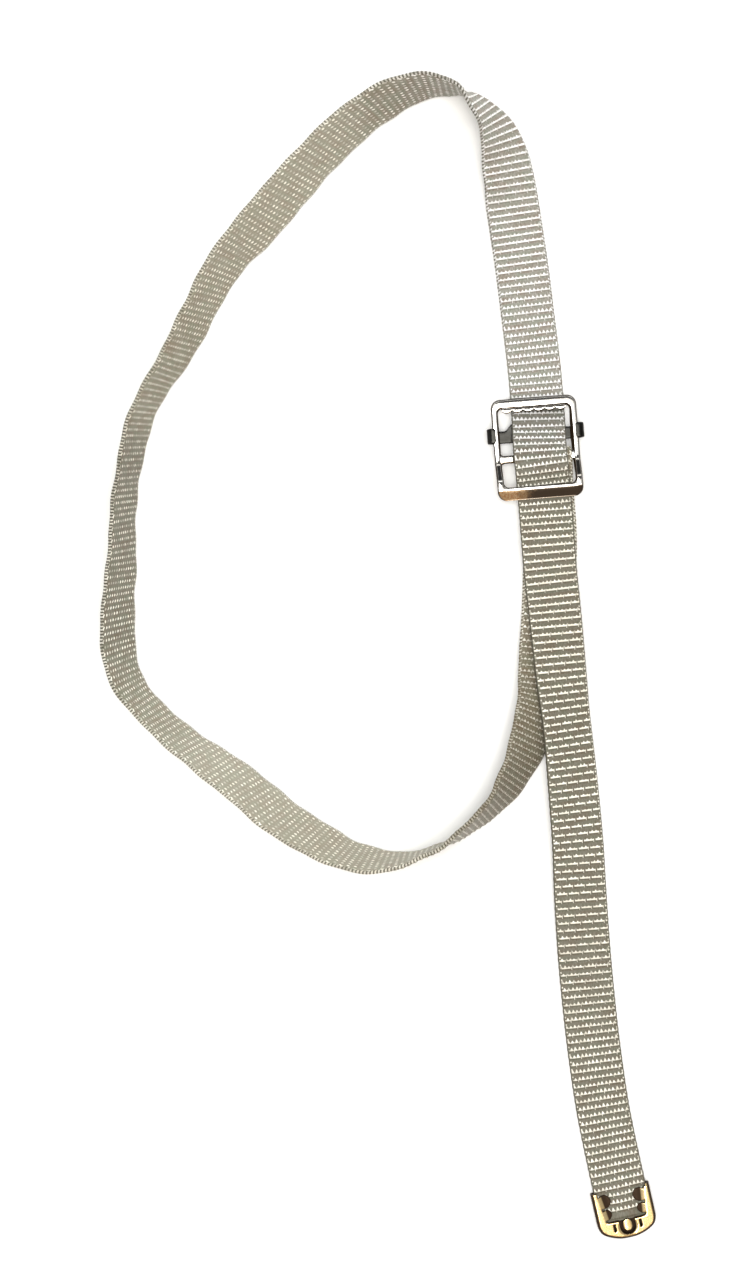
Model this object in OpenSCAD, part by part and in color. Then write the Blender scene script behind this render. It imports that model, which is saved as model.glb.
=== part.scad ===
// Webbing wrist strap: a long flat strap that passes through a sliding-bar friction buckle,
// runs round an open wrist loop and is anchored on the buckle's middle bar. The free tail ends
// in a crimped sheet-metal tip. +Z is up, the strap lies on z = 0, and +Y runs along the
// buckle's rails towards the loop.

/* [Webbing] */
// Width of the webbing
web_w = 12.7; // [12.3:0.1:13.0]
// Thickness of the webbing
web_t = 1.3; // [1.2:0.05:1.3]

/* [Buckle frame] */
// Outside width of the frame
frame_w = 20.3; // [20:0.1:20.8]
// Outside length of the frame
frame_l = 24.2; // [24:0.1:24.6]
// Sheet thickness of the frame
frame_t = 1.2; // [1.0:0.1:1.2]
// Width of each side rail
rail_w = 1.65; // [1.5:0.05:1.8]
// Length of the top bar, across the sheet
top_bar_l = 2.2; // [1.8:0.1:2.4]
// Length of the bottom bar, across the sheet
bottom_bar_l = 3.1; // [2.6:0.1:3.2]
// Length of the middle bar, across the sheet
middle_bar_l = 1.9; // [1.6:0.1:1.9]
// Number of teeth along the top bar
teeth = 6; // [4:1:7]
// Pitch of the teeth
tooth_pitch = 2.57; // [2.0:0.01:2.6]

/* [Grip bar] */
// Span over the two curled ears
grip_span = 23; // [22.8:0.1:23.6]
// Length of each ear, along the rail
ear_l = 3.5; // [3.0:0.1:3.6]
// Sheet thickness of the grip bar
grip_t = 0.75; // [0.6:0.05:0.75]
// How far the grip bar is slid back from its clamped place
grip_open = 0; // [0:0.1:1.4]

/* [Strap tip] */
// Width of the tip
tip_w = 14.2; // [14.1:0.1:14.6]
// Length of the tip
tip_l = 12; // [11.5:0.5:13]
// Sheet thickness of the tip
tip_t = 0.45; // [0.35:0.05:0.45]

/* [Hidden] */
$fn = 48;
eps = 0.01;

// The buckle's centre, placed so that the whole strap is centred on the origin.
buckle_at = [46.5, 50, 0];

// Heights in the buckle.
frame_z = 2.6;
bottom_bar_rise = 2;
top_y = frame_l / 2;
bottom_y = -frame_l / 2;
window_top_y = top_y - top_bar_l;
window_bottom_y = bottom_y + bottom_bar_l;
window_w = frame_w - 2 * rail_w;
middle_y = -2.2;
crank_top_y = -3.3;
crank_bottom_y = -7.4;
bend_shift = 0.25;
frame_corner_r = 2.2;
window_corner_r = 1.2;

// The bottom bar's upper face is level up to here, then slopes down to a thin outer edge.
bottom_slope_y = -9.6;
bottom_edge_t = 0.5;

// Toothed flange.
flange_l = 0.9;
flange_t = 0.55;
flange_lean = 10;
notch_r = 0.32;

// Grip bar.
grip_z = 1.75;
grip_y = 3.55;
ear_gap = 0.15;
ear_r = 0.6;
lip_cover = 0.9;
tongue_y = 6.3;
tongue_w = 11.2;
tongue_flare = 1.5;
bar_inset = 0.5;
bar_step = 0.6;

// Anchor fold and its thread.
fold_gap = 0.05;
fold_r = frame_t / 2 + fold_gap + web_t / 2;
fold_z = frame_z + frame_t / 2;
fold_y = middle_y + middle_bar_l / 2 - frame_t / 2;
return_x = 1.75;
join_y = -13;
lap_end_y = -21;
thread_r = 0.18;
stitch_pitch = 2;
stitch_columns = 5;
stitch_rows_y = [-15.5, -19.5];

// Strap tip.
tip_at = [7.7, -189.1, 0];
tip_turn = 8.3;
tip_h = web_t + 2 * tip_t + 0.1;
tip_plain_l = 4.4;
tip_corner_r = 4.6;
tip_belly_r = 11;
mouth_w = 9.8;
// Claws on each side of the mouth: [distance from the middle, height over the plain part, radius].
claws = [[4.4, 2.2, 1.15], [4.4, 5.2, 1.5]];
tip_notch_r = 1.75;
tip_notch_y = 2.9;
tip_tongue_r = 1.15;
tip_tongue_y = 3.1;
tip_tongue_h = 1.5;

// Routes of the webbing, measured from the buckle's centre. Each point is
// [x, y, lift of the lower edge above the surface, lean of the outer face from level].
tail_route = [
    [7.07, -184.6, 0.5, 0], [6.0, -177, 0.5, 0], [4.9, -169, 0.2, 0], [3.8, -160, 0, 0],
    [2.7, -145, 0, 0], [2.1, -125, 0, 0], [2.2, -107, 0, 5], [2.5, -94, 0, 11],
    [2.4, -82, 0.1, 15], [2.2, -72, 0.2, 19], [1.9, -64, 0.4, 20], [1.6, -56, 1.0, 14],
    [1.4, -46, 1.4, 8], [1.2, -36, 1.5, 3], [1.0, -30, 2.0, 1], [0.9, -25, 2.7, 0],
    [0.9, -19, 2.85, 0], [0.9, -13, 2.85, 0]];
buckle_route = [
    [0.9, -13, 2.85, 0], [0.85, -10.5, 2.9, 0], [0.8, -8.6, 3.3, 0], [0.7, -6.5, 4.4, 0],
    [0.6, -4.6, 5.3, 0], [0.5, -3, 5.4, 0], [0.5, -1.2, 5.2, 0], [0.6, 1.2, 4.3, 0],
    [0.8, 4.2, 3.1, 0], [0.9, 6.4, 2.75, 0], [1, 8, 2, 0], [1.1, 9.9, 0.95, 0],
    [1.2, 12, 0.35, 0], [1.2, 14.5, 0.05, 0], [1.2, 17, 0, 0]];
loop_top_route = [
    [1.2, 17, 0, 0], [1.1, 21, 0, 0], [0.7, 30, 0, 0], [0.1, 43, 0, 0], [-0.8, 56, 0, 2],
    [-1.6, 66, 0, 16], [-3.7, 76, 0, 40], [-8.4, 82.6, 0, 64], [-14.5, 86.2, 0, 90], [-22, 86.7, 0, 107],
    [-31, 83.6, 0, 118], [-40, 77.8, 0, 125], [-53, 66.2, 0, 129]];
loop_side_route = [
    [-53, 66.2, 0, 129], [-58.5, 60.7, 0, 131], [-63.6, 55.7, 0, 128], [-68.7, 50.7, 0, 123],
    [-73.4, 44.5, 0, 119], [-77.5, 37.7, 0, 117], [-84.5, 26.7, 0, 113], [-88.8, 21.1, 0, 107],
    [-92.4, 15.1, 0, 108], [-96.4, 3, 0, 107], [-98.6, -7, 0, 109], [-99.8, -18, 0, 112],
    [-101.8, -31, 0, 119], [-102.3, -41, 0, 122], [-100, -49.5, 0, 116], [-95, -56.2, 0, 115]];
loop_bottom_route = [
    [-95, -56.2, 0, 115], [-82.3, -68.5, 0, 125], [-77, -73, 0, 129], [-67.2, -82.5, 0, 131],
    [-58.8, -88.6, 0, 126], [-52, -92.5, 0, 118], [-45, -94.4, 0, 107], [-38, -94.3, 0, 95],
    [-30.4, -92.2, 0, 86], [-22.8, -88, 0, 74], [-16.2, -82.8, 0, 63], [-11.2, -76.3, 0, 51]];
return_route = [
    [-11.2, -76.3, 0, 51], [-6.6, -67.5, 0, 36], [-3.2, -58, 0, 18], [-1.6, -48, 0, 8],
    [0.0, -38, 0, 3], [0.9, -30, 0.2, 0], [1.5, -23, 1.42, 0],
    [return_x, -18, 1.42, 0], [return_x, join_y, 1.42, 0]];

// The whole route in one list, with each shared end point once.
function after(r) = [for (i = [1 : len(r) - 1]) r[i]];
route = concat(tail_route, after(buckle_route), after(loop_top_route), after(loop_side_route),
               after(loop_bottom_route), after(return_route));
tail_n = len(tail_route) - 1;
buckle_n = tail_n + len(buckle_route) - 1;
top_n = buckle_n + len(loop_top_route) - 1;
side_n = top_n + len(loop_side_route) - 1;
bottom_n = side_n + len(loop_bottom_route) - 1;
return_n = bottom_n + len(return_route) - 1;

// Height of the webbing's centreline at a route point: its lower edge is at the point's lift.
function centre_z(p) =
    p[2] + web_w / 2 * abs(sin(p[3])) + web_t / 2 * abs(cos(p[3]));

// Smooth curve through the route's points: Catmull-Rom with uneven spacing.
function slope(r, i) =
    i == 0 ? (r[1] - r[0]) / norm(r[1] - r[0])
    : i == len(r) - 1 ? (r[i] - r[i - 1]) / norm(r[i] - r[i - 1])
    : let (a = norm(r[i] - r[i - 1]), b = norm(r[i + 1] - r[i]))
      ((r[i + 1] - r[i]) / b * a + (r[i] - r[i - 1]) / a * b) / (a + b);
function on_route(r, i, u) =
    let (d = norm(r[i + 1] - r[i]))
    (2 * u * u * u - 3 * u * u + 1) * r[i] + (u * u * u - 2 * u * u + u) * d * slope(r, i)
    + (3 * u * u - 2 * u * u * u) * r[i + 1] + (u * u * u - u * u) * d * slope(r, i + 1);
function centre(g) =
    let (i = max(0, min(floor(g), len(route) - 2)), p = on_route(route, i, g - i))
    [p[0], p[1], centre_z(p)];

// Outline of the webbing's cross section, [across, up], with thinned edges.
edge = 0.5;
section = [[-web_w / 2, -web_t / 4], [-web_w / 2 + edge, -web_t / 2],
           [web_w / 2 - edge, -web_t / 2], [web_w / 2, -web_t / 4],
           [web_w / 2, web_t / 4], [web_w / 2 - edge, web_t / 2],
           [-web_w / 2 + edge, web_t / 2], [-web_w / 2, web_t / 4]];

function unit(v) = v / norm(v);
// One ring of the section about a centre, with the tangent t and the sideways direction o.
function ring(centre, t, o, lean) =
    let (n0 = cross(o, t), n = cos(lean) * n0 + sin(lean) * o, w = cos(lean) * o - sin(lean) * n0)
    [for (p = section) centre + w * p[0] + n * p[1]];
// The ring at place g along the route, where whole numbers are the route's points.
function curve_ring(g) =
    let (i = min(floor(g), len(route) - 2), last = len(route) - 1,
         t = unit(centre(min(g + 0.02, last)) - centre(max(g - 0.02, 0))),
         o = unit(cross(t, [0, 0, 1])))
    ring(centre(g), t, o, on_route(route, i, g - i)[3]);

// A closed solid through a list of rings.
module sweep(rings) {
    m = len(section);
    n = len(rings);
    points = [for (r = rings) for (p = r) p];
    sides = [for (k = [0 : n - 2]) for (j = [0 : m - 1])
             for (f = [[k * m + j, (k + 1) * m + (j + 1) % m, (k + 1) * m + j],
                       [k * m + j, k * m + (j + 1) % m, (k + 1) * m + (j + 1) % m]]) f];
    ends = [[for (j = [m - 1 : -1 : 0]) j], [for (j = [0 : m - 1]) (n - 1) * m + j]];
    polyhedron(points = points, faces = concat(sides, ends), convexity = 6);
}

// The stretch of webbing between two points of the route, with a few rings to each step.
module stretch(first, last, steps) {
    color("darkkhaki") translate(buckle_at)
        sweep([for (k = [0 : (last - first) * steps]) curve_ring(first + k / steps)]);
}

// Rectangle with round corners, centred on x = 0, from y0 to y1.
module round_box(w, y0, y1, r) {
    translate([-w / 2, y0 + r]) square([w, y1 - y0 - 2 * r]);
    translate([-w / 2 + r, y0]) square([w - 2 * r, y1 - y0]);
    for (x = [-w / 2 + r, w / 2 - r], y = [y0 + r, y1 - r])
        translate([x, y]) circle(r = r);
}

// Side profile of the frame sheet in [y, z]: level, then cranked up to the bottom bar.
module frame_profile() {
    raised_z = frame_z + bottom_bar_rise;
    polygon([[bottom_y, raised_z], [crank_bottom_y, raised_z], [crank_top_y, frame_z],
             [top_y, frame_z], [top_y, frame_z + frame_t],
             [crank_top_y + bend_shift, frame_z + frame_t],
             [crank_bottom_y + bend_shift, raised_z + frame_t],
             [bottom_slope_y, raised_z + frame_t], [bottom_y, raised_z + bottom_edge_t]]);
}

module frame_plan() {
    difference() {
        round_box(frame_w, bottom_y, top_y, frame_corner_r);
        round_box(window_w, window_bottom_y, window_top_y, window_corner_r);
    }
}

// Scalloped flange that leans down from the top bar's inner edge.
module toothed_flange() {
    flange_w = teeth * tooth_pitch;
    translate([0, window_top_y + 0.1, frame_z + frame_t - flange_t]) rotate([flange_lean, 0, 0])
        linear_extrude(flange_t) difference() {
            translate([-flange_w / 2, -flange_l]) square([flange_w, flange_l]);
            for (k = [0 : teeth]) translate([(k - teeth / 2) * tooth_pitch, -flange_l])
                circle(r = notch_r);
        }
}

// Flat middle bar with round edges, so that the folded webbing turns round it.
module middle_bar() {
    r = frame_t / 2;
    bar_w = window_w + 0.4;
    for (y = [-1, 1]) translate([-bar_w / 2, middle_y + y * (middle_bar_l / 2 - r), frame_z + r])
        rotate([0, 90, 0]) cylinder(r = r, h = bar_w);
    translate([-bar_w / 2, middle_y - middle_bar_l / 2 + r, frame_z])
        cube([bar_w, middle_bar_l - 2 * r, frame_t]);
}

module buckle_frame() {
    color("silver") translate(buckle_at) {
        intersection() {
            rotate([90, 0, 90]) linear_extrude(frame_w, center = true) frame_profile();
            linear_extrude(20) frame_plan();
        }
        toothed_flange();
        middle_bar();
    }
}

// End view of one curled ear in [x, z], on the +X rail.
module ear_profile() {
    inner_x = frame_w / 2 + ear_gap;
    outer_x = grip_span / 2;
    lip_x = frame_w / 2 - lip_cover;
    top_z = frame_z + frame_t + ear_gap + grip_t;
    r = ear_r;
    difference() {
        union() {
            translate([lip_x, grip_z]) square([outer_x - lip_x - r, top_z - grip_z]);
            translate([lip_x, grip_z + r]) square([outer_x - lip_x, top_z - grip_z - 2 * r]);
            for (z = [grip_z + r, top_z - r]) translate([outer_x - r, z]) circle(r = r);
        }
        translate([lip_x - 1, grip_z + grip_t])
            square([inner_x - lip_x + 1, frame_t + frame_z - grip_z - grip_t + ear_gap]);
    }
}

module grip_bar() {
    half = tongue_w / 2;
    bar_half = frame_w / 2 - bar_inset;
    y0 = grip_y - ear_l / 2;
    y1 = grip_y + ear_l / 2 - bar_step;
    color("lightsteelblue") translate(buckle_at + [0, -grip_open, 0]) {
        translate([0, 0, grip_z]) linear_extrude(grip_t)
            polygon([[-bar_half, y0], [bar_half, y0], [bar_half, y1], [half + tongue_flare, y1],
                     [half, tongue_y], [-half, tongue_y], [-half - tongue_flare, y1],
                     [-bar_half, y1]]);
        for (side = [0, 1]) mirror([side, 0, 0]) translate([0, grip_y + ear_l / 2, 0])
            rotate([90, 0, 0]) linear_extrude(ear_l) ear_profile();
    }
}

module webbing_tail() { stretch(0, tail_n, 3); }
module webbing_in_buckle() { stretch(tail_n, buckle_n, 3); }
module webbing_loop_top() { stretch(buckle_n, top_n, 4); }
module webbing_loop_side() { stretch(top_n, side_n, 3); }
module webbing_loop_bottom() { stretch(side_n, bottom_n, 4); }
module webbing_return() { stretch(bottom_n, return_n, 4); }

// The end of the loop: up to the middle bar, round it, and back under itself.
module webbing_anchor_fold() {
    x = return_x;
    side = [1, 0, 0];
    z_in = centre_z(return_route[len(return_route) - 1]);
    z_lap = z_in - web_t - fold_gap;
    z_over = fold_z + fold_r;
    upper = [[join_y, z_in], [-10.5, z_in], [-8.5, z_in + 0.35], [-6.5, z_over - 1.15],
             [-4.8, z_over - 0.25], [-3.4, z_over], [fold_y, z_over]];
    lower = [[fold_y, fold_z - fold_r], [-3.4, fold_z - fold_r - 0.15], [-6, z_lap + 0.35],
             [-8.5, z_lap], [lap_end_y, z_lap]];
    turn = [for (a = [75 : -15 : -75]) [fold_y + fold_r * cos(a), fold_z + fold_r * sin(a)]];
    path = concat(upper, turn, lower);
    n = len(path);
    directions = [for (i = [0 : n - 1])
                  let (d = i == 0 ? [1, 0] : i == n - 1 ? [-1, 0] : path[i + 1] - path[i - 1])
                  unit([0, d[0], d[1]])];
    color("khaki") translate(buckle_at)
        sweep([for (i = [0 : n - 1]) ring([x, path[i][0], path[i][1]], directions[i], side, 0)]);
}

// Two rows of stitches through the fold's two layers. Each stitch shows a run of thread on
// the upper face, a run on the lower face and the legs between them.
module anchor_stitching() {
    z_top = centre_z(return_route[len(return_route) - 1]) + web_t / 2 - thread_r;
    z_low = z_top + thread_r - 2 * web_t - fold_gap + thread_r + 0.02;
    color("ivory") translate(buckle_at)
        for (y = stitch_rows_y) translate([return_x, y, 0]) {
            span = (stitch_columns - 1) * stitch_pitch;
            for (z = [z_top, z_low]) translate([-span / 2 - thread_r, 0, z])
                rotate([0, 90, 0]) cylinder(r = thread_r, h = span + 2 * thread_r);
            for (k = [0 : stitch_columns - 1])
                translate([(k - (stitch_columns - 1) / 2) * stitch_pitch, 0, z_low])
                    cylinder(r = thread_r, h = z_top - z_low);
        }
}

// Outline of the tip, open end up: straight sides and a blunt round end.
module tip_outline(inset) {
    r = tip_corner_r - inset;
    half = tip_w / 2 - inset;
    intersection() {
        union() {
            translate([-half, tip_corner_r]) square([2 * half, tip_l - tip_corner_r]);
            translate([-half + r, inset]) square([2 * half - 2 * r, tip_corner_r]);
            for (x = [-half + r, half - r]) translate([x, tip_corner_r]) circle(r = r);
        }
        translate([0, tip_belly_r]) union() {
            circle(r = tip_belly_r - inset);
            translate([-half, 0]) square([2 * half, tip_l]);
        }
    }
}

// Mouth in the tip's front sheet, with two rounded claws left standing on each side.
module tip_mouth() {
    difference() {
        translate([-mouth_w / 2, tip_plain_l]) square([mouth_w, tip_l]);
        for (side = [-1, 1], c = claws) translate([side * c[0], tip_plain_l + c[1]]) circle(r = c[2]);
    }
}

// Round-ended notch in the front sheet, where the tongue stands.
module tip_notch() {
    translate([0, tip_notch_y]) circle(r = tip_notch_r);
    translate([-tip_notch_r, tip_notch_y]) square([2 * tip_notch_r, 2]);
}

// Tongue lanced up from the back sheet, standing in the notch.
module tip_tongue() {
    translate([0, 0, tip_t - eps]) linear_extrude(tip_tongue_h) {
        translate([0, tip_tongue_y]) circle(r = tip_tongue_r);
        translate([-tip_tongue_r, tip_tongue_y]) square([2 * tip_tongue_r, 1.2]);
    }
}

module strap_tip() {
    mouth_z = tip_h - tip_t;
    color("gold") translate(buckle_at + tip_at) rotate([0, 0, tip_turn]) {
        tip_tongue();
        difference() {
            linear_extrude(tip_h) tip_outline(0);
            translate([0, 0, tip_t]) linear_extrude(tip_h - 2 * tip_t) {
                tip_outline(tip_t);
                translate([-tip_w / 2 + tip_t, tip_l - 1]) square([tip_w - 2 * tip_t, 2]);
            }
            translate([0, 0, mouth_z - eps]) linear_extrude(tip_t + 1) {
                tip_mouth();
                tip_notch();
            }
        }
    }
}

buckle_frame();
grip_bar();
webbing_tail();
webbing_in_buckle();
webbing_loop_top();
webbing_loop_side();
webbing_loop_bottom();
webbing_return();
webbing_anchor_fold();
anchor_stitching();
strap_tip();
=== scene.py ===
import math
from types import SimpleNamespace

import bpy
import numpy as np
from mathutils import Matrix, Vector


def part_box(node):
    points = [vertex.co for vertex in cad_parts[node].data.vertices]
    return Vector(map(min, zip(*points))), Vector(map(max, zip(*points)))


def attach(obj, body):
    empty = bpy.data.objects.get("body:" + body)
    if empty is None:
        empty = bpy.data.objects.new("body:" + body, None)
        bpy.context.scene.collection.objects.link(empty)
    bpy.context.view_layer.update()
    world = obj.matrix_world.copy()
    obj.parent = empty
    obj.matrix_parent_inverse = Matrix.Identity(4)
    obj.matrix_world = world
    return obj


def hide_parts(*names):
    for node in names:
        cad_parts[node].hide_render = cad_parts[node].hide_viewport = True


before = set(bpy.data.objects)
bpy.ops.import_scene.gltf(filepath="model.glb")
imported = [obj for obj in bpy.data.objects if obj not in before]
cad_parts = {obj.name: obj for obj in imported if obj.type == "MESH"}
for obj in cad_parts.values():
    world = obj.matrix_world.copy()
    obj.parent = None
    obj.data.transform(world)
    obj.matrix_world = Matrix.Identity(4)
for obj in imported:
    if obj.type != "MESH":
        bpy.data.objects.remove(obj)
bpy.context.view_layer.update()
scene = bpy.context.scene

MM = 0.001
low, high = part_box("buckle_frame")
BUCKLE = np.array([(low.x + high.x) / 2, (low.y + high.y) / 2, 0])

# ---------------------------------------------------------------- camera

camera = bpy.data.objects.new("camera", bpy.data.cameras.new("camera"))
camera.location = (BUCKLE[0] - 0.0416, BUCKLE[1] - 0.0424, 0.450)
camera.rotation_euler = (0, 0, math.radians(-4.5))
camera.data.lens = 52.93
camera.data.sensor_width = 36
camera.data.clip_start = 0.01
scene.collection.objects.link(camera)
scene.camera = camera

# ---------------------------------------------------------------- mesh helpers


def make_object(name, points, faces, material, body="strap", uvs=None):
    """A smooth mesh object from points in metres. uvs holds one pair for each face corner."""
    mesh = bpy.data.meshes.new(name)
    mesh.from_pydata(np.asarray(points).tolist(), [], faces)
    mesh.polygons.foreach_set("use_smooth", [True] * len(mesh.polygons))
    if uvs is not None:
        layer = mesh.uv_layers.new(name="weave")
        layer.data.foreach_set("uv", np.asarray(uvs, np.float32).ravel())
    mesh.materials.append(material)
    mesh.update()
    obj = bpy.data.objects.new(name, mesh)
    scene.collection.objects.link(obj)
    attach(obj, body)
    return obj


def loft(rings, closed=False, caps=True):
    """Points and faces of a tube through rings, an array of [ring, point, xyz]."""
    n, m, _ = rings.shape
    points = rings.reshape(-1, 3)
    faces = []
    for i in range(n if closed else n - 1):
        a, b = i * m, (i + 1) % n * m
        for j in range(m):
            k = (j + 1) % m
            faces.append((a + j, b + j, b + k, a + k))
    if caps and not closed:
        ends = np.vstack([rings[0], rings[-1]])
        start = len(points)
        points = np.vstack([points, ends])
        faces.append(tuple(range(start, start + m)))
        faces.append(tuple(range(start + 2 * m - 1, start + m - 1, -1)))
    return points, faces


def joined(parts):
    """Several (points, faces) as one."""
    points, faces, start = [], [], 0
    for p, f in parts:
        points.append(p)
        faces += [tuple(i + start for i in face) for face in f]
        start += len(p)
    return np.vstack(points), faces


def round_section(half_w, half_t, r, crown=0.0, corner=5, flat=6):
    """Closed outline [across, up] of a bar with round edges and a slightly domed face."""
    r = min(r, half_w * 0.98, half_t * 0.98)
    out = []
    for cx, cy, a0 in ((1, 1, 0), (-1, 1, 90), (-1, -1, 180), (1, -1, 270)):
        for k in range(corner + 1):
            a = math.radians(a0 + 90 * k / corner)
            out.append((cx * (half_w - r) + r * math.cos(a), cy * (half_t - r) + r * math.sin(a)))
        if a0 in (0, 180):
            span = half_w - r
            for k in range(1, flat):
                x = cx * span * (1 - 2 * k / flat)
                out.append((x, cy * (half_t + crown * (1 - (x / span) ** 2))))
    return np.array(out)


def unit(v):
    return v / np.linalg.norm(v, axis=-1, keepdims=True)


def smooth(x, a, b):
    """A soft step from 0 at a to 1 at b."""
    t = np.clip((x - a) / (b - a), 0, 1)
    return t * t * (3 - 2 * t)


# ---------------------------------------------------------------- shader helpers


class Value:
    """A shader socket that can be used in ordinary sums."""

    def __init__(self, tree, socket):
        self.tree, self.socket = tree, socket

    def op(self, kind, *others):
        node = self.tree.nodes.new("ShaderNodeMath")
        node.operation = kind
        for place, value in zip(node.inputs, (self,) + others):
            feed(self.tree, place, value)
        return Value(self.tree, node.outputs[0])

    def __add__(self, o):
        return self.op("ADD", o)

    def __sub__(self, o):
        return self.op("SUBTRACT", o)

    def __mul__(self, o):
        return self.op("MULTIPLY", o)

    def __truediv__(self, o):
        return self.op("DIVIDE", o)

    __radd__, __rmul__ = __add__, __mul__

    def __rsub__(self, o):
        return (self * -1) + o

    def floor(self):
        return self.op("FLOOR")

    def fract(self):
        return self.op("FRACT")

    def abs(self):
        return self.op("ABSOLUTE")

    def min(self, o):
        return self.op("MINIMUM", o)

    def max(self, o):
        return self.op("MAXIMUM", o)

    def above(self, o):
        return self.op("GREATER_THAN", o)

    def ramp(self, a, b, low=0.0, high=1.0, kind="SMOOTHSTEP"):
        node = self.tree.nodes.new("ShaderNodeMapRange")
        node.interpolation_type = kind
        for place, value in zip(node.inputs, (self, a, b, low, high)):
            feed(self.tree, place, value)
        return Value(self.tree, node.outputs[0])


def feed(tree, place, value):
    """Links a socket to an input, or sets the input to a plain value."""
    if isinstance(value, Value):
        tree.links.new(value.socket, place)
    elif isinstance(value, bpy.types.NodeSocket):
        tree.links.new(value, place)
    else:
        place.default_value = value


class Shader:
    """A material with a Principled shader and short names for the nodes around it."""

    def __init__(self, name, **settings):
        self.material = bpy.data.materials.new(name)
        self.material.use_nodes = True
        self.tree = self.material.node_tree
        self.bsdf = self.tree.nodes["Principled BSDF"]
        self.set(**settings)

    def set(self, **settings):
        for name, value in settings.items():
            feed(self.tree, self.bsdf.inputs[name.replace("_", " ")], value)

    def vector(self, x, y, z):
        node = self.tree.nodes.new("ShaderNodeCombineXYZ")
        for place, value in zip(node.inputs, (x, y, z)):
            feed(self.tree, place, value)
        return node.outputs[0]

    def split(self, socket):
        node = self.tree.nodes.new("ShaderNodeSeparateXYZ")
        feed(self.tree, node.inputs[0], socket)
        return [Value(self.tree, s) for s in node.outputs]

    def noise(self, vector, scale=1.0, detail=2.0, rough=0.5):
        node = self.tree.nodes.new("ShaderNodeTexNoise")
        feed(self.tree, node.inputs["Vector"], vector)
        node.inputs["Scale"].default_value = scale
        node.inputs["Detail"].default_value = detail
        node.inputs["Roughness"].default_value = rough
        return Value(self.tree, node.outputs[0])

    def chance(self, vector):
        node = self.tree.nodes.new("ShaderNodeTexWhiteNoise")
        node.noise_dimensions = "3D"
        feed(self.tree, node.inputs["Vector"], vector)
        return Value(self.tree, node.outputs[0])

    def mix(self, factor, a, b, kind="MIX"):
        node = self.tree.nodes.new("ShaderNodeMix")
        node.data_type = "RGBA"
        node.blend_type = kind
        feed(self.tree, node.inputs[0], factor)
        for place, value in ((node.inputs[6], a), (node.inputs[7], b)):
            feed(self.tree, place, (*value, 1) if isinstance(value, tuple) else value)
        return node.outputs[2]

    def bump(self, height, distance, strength=1.0, normal=None):
        node = self.tree.nodes.new("ShaderNodeBump")
        node.inputs["Strength"].default_value = strength
        node.inputs["Distance"].default_value = distance
        feed(self.tree, node.inputs["Height"], height)
        if normal is not None:
            feed(self.tree, node.inputs["Normal"], normal)
        return node.outputs[0]

    def object_place(self):
        return self.tree.nodes.new("ShaderNodeTexCoord").outputs["Object"]


# ---------------------------------------------------------------- webbing: measures

WEB_W = 12.7
WEB_T = 1.3
# The spacing of the ribs along the webbing, and of the crowns along a rib.
RIB = 1.77
CROWN = 0.95
# How far the ribs stand out of their grooves, and the crowns out of the ribs.
RIB_RISE = 0.17
CROWN_RISE = 0.06
# Added to u on the back face, so that the material can tell the faces apart.
BACK = 100
# Where the rows lie closer together than RIB: [from, to, spacing], in millimetres along the route.
CLOSER = [(165, 203, 1.60), (203, 262, 1.70), (262, 330, 1.56), (330, 600, 1.45), (600, 700, 1.60)]
# How far the rows slant, as [place, rise along the strap for each millimetre across]. The loop
# stands on its edge, and the cloth there has crept out of square.
SLANT = [(262, 0.0), (300, 0.30), (345, 0.26), (385, 0.20), (425, 0.14), (447, 0.16), (478, -0.30),
         (515, -0.21), (560, 0.0)]
# Where the mesh has its points within a rib, for each number of points.
RIB_POINTS = {5: [0.08, 0.28, 0.44, 0.60, 0.80], 6: [0.05, 0.22, 0.36, 0.48, 0.64, 0.82],
              8: [0.04, 0.17, 0.29, 0.39, 0.49, 0.61, 0.75, 0.89]}

# Routes of the webbing in millimetres from the buckle's centre:
# [x, y, lift of the lower edge, lean of the outer face in degrees].
tail_route = [
    [7.07, -184.6, 0.5, 0], [6.0, -177, 0.5, 0], [4.9, -169, 0.2, 0], [3.8, -160, 0, 0],
    [2.7, -145, 0, 0], [2.1, -125, 0, 0], [2.2, -107, 0, 5], [2.5, -94, 0, 11],
    [2.4, -82, 0.1, 15], [2.2, -72, 0.2, 19], [1.9, -64, 0.4, 20], [1.6, -56, 1.0, 14],
    [1.4, -46, 1.4, 8], [1.2, -36, 1.5, 3], [1.0, -30, 2.0, 1], [0.9, -25, 2.7, 0],
    [0.9, -19, 2.85, 0], [0.9, -13, 2.85, 0]]
buckle_route = [
    [0.85, -10.5, 2.9, 0], [0.8, -8.6, 3.3, 0], [0.7, -6.5, 4.4, 0],
    [0.6, -4.6, 5.3, 0], [0.5, -3, 5.4, 0], [0.5, -1.2, 5.2, 0], [0.6, 1.2, 4.3, 0],
    [0.8, 4.2, 3.1, 0], [0.9, 6.4, 2.75, 0], [1, 8, 2, 0], [1.1, 9.9, 0.95, 0],
    [1.2, 12, 0.35, 0], [1.2, 14.5, 0.05, 0], [1.2, 17, 0, 0]]
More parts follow.
